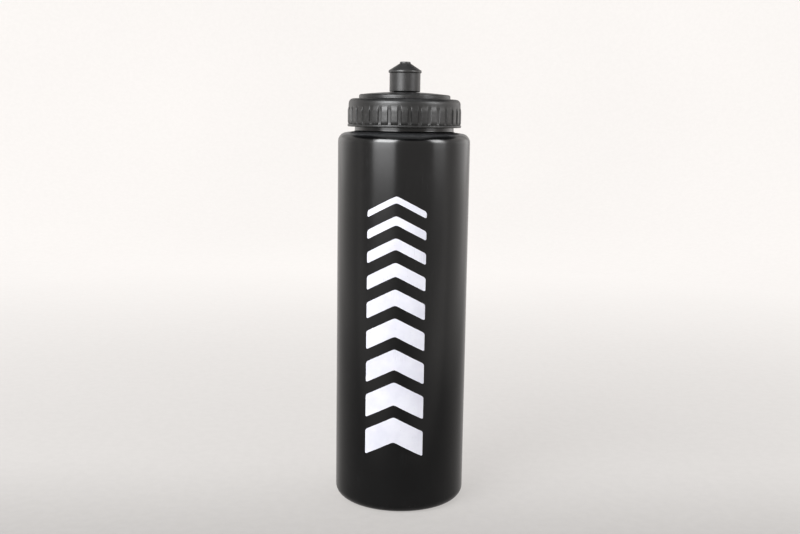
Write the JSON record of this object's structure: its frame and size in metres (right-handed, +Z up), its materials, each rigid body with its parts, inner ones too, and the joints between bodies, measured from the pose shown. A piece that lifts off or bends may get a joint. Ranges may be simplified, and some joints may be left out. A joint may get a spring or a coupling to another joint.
{
  "type": "sports squeeze bottle",
  "caption": "Slim round squeeze bottle with a rounded shoulder, a grip-ribbed screw lid with a raised crown, and a push-pull drinking valve.",
  "frame": {"origin": "centre of the base, on the plane the bottle stands on", "axes": "+Z up along the bottle's axis, from the base to the drinking tip; -Y faces the printed front"},
  "size_m": [0.073, 0.073, 0.245],
  "materials": {
    "bottle_plastic": "satin blow-moulded black plastic with a screen-printed white front",
    "lid_plastic": "satin moulded charcoal-black plastic",
    "washer_rubber": "soft matt",
    "valve_plastic": "satin soft moulded black plastic"
  },
  "bodies": {
    "bottle": {"bottle": "bottle_plastic"},
    "washer": {"sealing_washer": "washer_rubber"},
    "lid": {"lid": "lid_plastic"},
    "valve": {"valve": "valve_plastic"}
  },
  "joints": [
    {"name": "lid_lift", "type": "slide", "parent": "bottle", "child": "washer", "axis": [0, 0, 1], "range_m": [0, 0.02116]},
    {"name": "lid_turn", "type": "hinge", "parent": "washer", "child": "lid", "pos_m": [0, 0, 0.2173], "axis": [0, 0, 1], "range_deg": [0, 1800]},
    {"name": "valve_pull", "type": "slide", "parent": "lid", "child": "valve", "axis": [0, 0, 1], "range_m": [0, 0.0055]}
  ],
  "couplings": [
    {"joint": "lid_lift", "follows": "lid_turn", "m_per_rad": 0.00067322}
  ]
}
